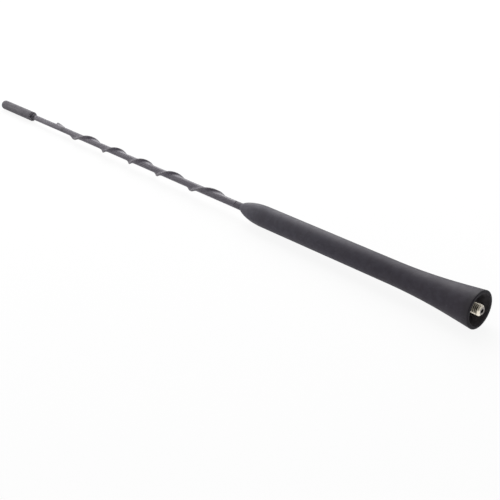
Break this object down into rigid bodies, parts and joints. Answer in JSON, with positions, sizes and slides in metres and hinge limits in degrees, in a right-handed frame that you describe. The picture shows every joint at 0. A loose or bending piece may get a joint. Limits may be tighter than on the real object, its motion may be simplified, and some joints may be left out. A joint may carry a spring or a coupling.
{
  "type": "car roof antenna mast",
  "caption": "Short flexible roof antenna mast: flared rubber boot with a threaded stud in its seat, slim whip with a spiral wind fin, and a plain tip cap",
  "frame": {"origin": "centre of the plane of the boot's rim, which seats on the antenna base; it lies on the stud's axis", "axes": "+Z runs along the mast from the seat to the tip; X and Y are free because the mast is round, and -Y faces up in the picture"},
  "size_m": [0.0174, 0.0172, 0.401],
  "materials": {
    "plated_brass": "turned, nickel plated, slightly warm",
    "boot_rubber": "matte moulded, fine grain",
    "former_plastic": "natural moulded",
    "coil_copper": "enamelled copper wire",
    "ferrule_brass": "turned, crimped",
    "spring_steel": "drawn",
    "jacket_plastic": "satin moulded",
    "cap_plastic": "matte moulded"
  },
  "bodies": {
    "root": {"threaded_foot": "plated_brass", "rubber_boot": "boot_rubber", "coil_former": "former_plastic", "loading_coil": "coil_copper", "whip_ferrule": "ferrule_brass", "whip_core": "spring_steel", "whip_jacket": "jacket_plastic", "tip_cap": "cap_plastic"}
  },
  "joints": []
}
